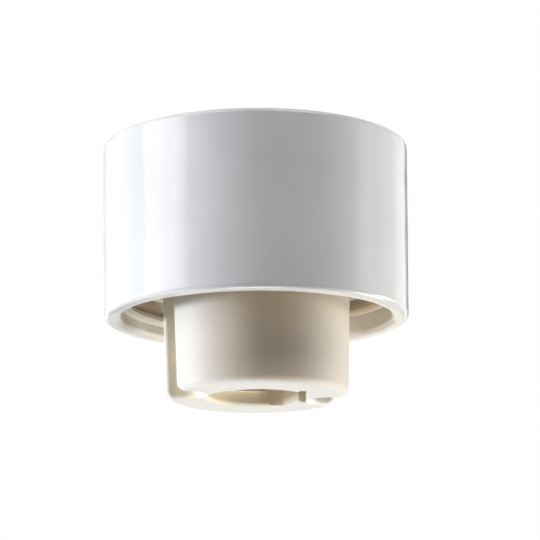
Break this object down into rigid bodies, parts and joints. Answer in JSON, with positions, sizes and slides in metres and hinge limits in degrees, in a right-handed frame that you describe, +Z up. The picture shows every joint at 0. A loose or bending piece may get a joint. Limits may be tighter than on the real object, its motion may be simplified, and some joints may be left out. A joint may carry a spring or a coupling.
{
  "type": "lamp holder",
  "caption": "Straight ceiling lamp holder: glazed porcelain base with an internal globe thread and a ceramic screw lamp holder that stands out of its mouth.",
  "frame": {"origin": "centre of the ceiling face", "axes": "+Z up towards the ceiling, the lamp opening looks down along -Z; the holder body's two channels lie along X"},
  "size_m": [0.097, 0.097, 0.081],
  "materials": {
    "white_glaze": "glossy white glaze",
    "cream_ceramic": "unglazed, matte cream",
    "black_rubber": "matte",
    "pale_seal": "matte silicone",
    "zinc_plated_steel": "zinc plated",
    "nickel_plate": "nickel plated",
    "brass": "plain turned brass",
    "fibre": "vulcanised fibre",
    "mica": "pressed mica",
    "spring_steel": "spring wire"
  },
  "bodies": {
    "holder": {"porcelain_base": "white_glaze", "ceiling_gasket": "black_rubber", "cable_grommet": "black_rubber", "fixing_seals": "black_rubber", "globe_seal": "pale_seal", "holder_body": "cream_ceramic", "holder_screws": "zinc_plated_steel", "holder_washers": "zinc_plated_steel", "pillar_washers": "fibre", "holder_nuts": "zinc_plated_steel", "screw_shell": "nickel_plate", "shell_screws": "nickel_plate", "shell_nuts": "nickel_plate", "contact_bush": "brass", "bush_washer": "mica", "bush_nut": "brass", "contact_spring": "spring_steel", "line_terminal": "brass", "neutral_terminal": "brass", "line_clamp_screws": "zinc_plated_steel", "neutral_clamp_screws": "zinc_plated_steel"},
    "contact": {"contact_plunger": "brass"}
  },
  "joints": [
    {"name": "contact_press", "type": "slide", "parent": "holder", "child": "contact", "axis": [0, 0, 1], "range_m": [0, 0.002], "stiffness_N_per_m": 1500, "springref_m": -0.002, "deforming": ["contact_spring"]}
  ]
}
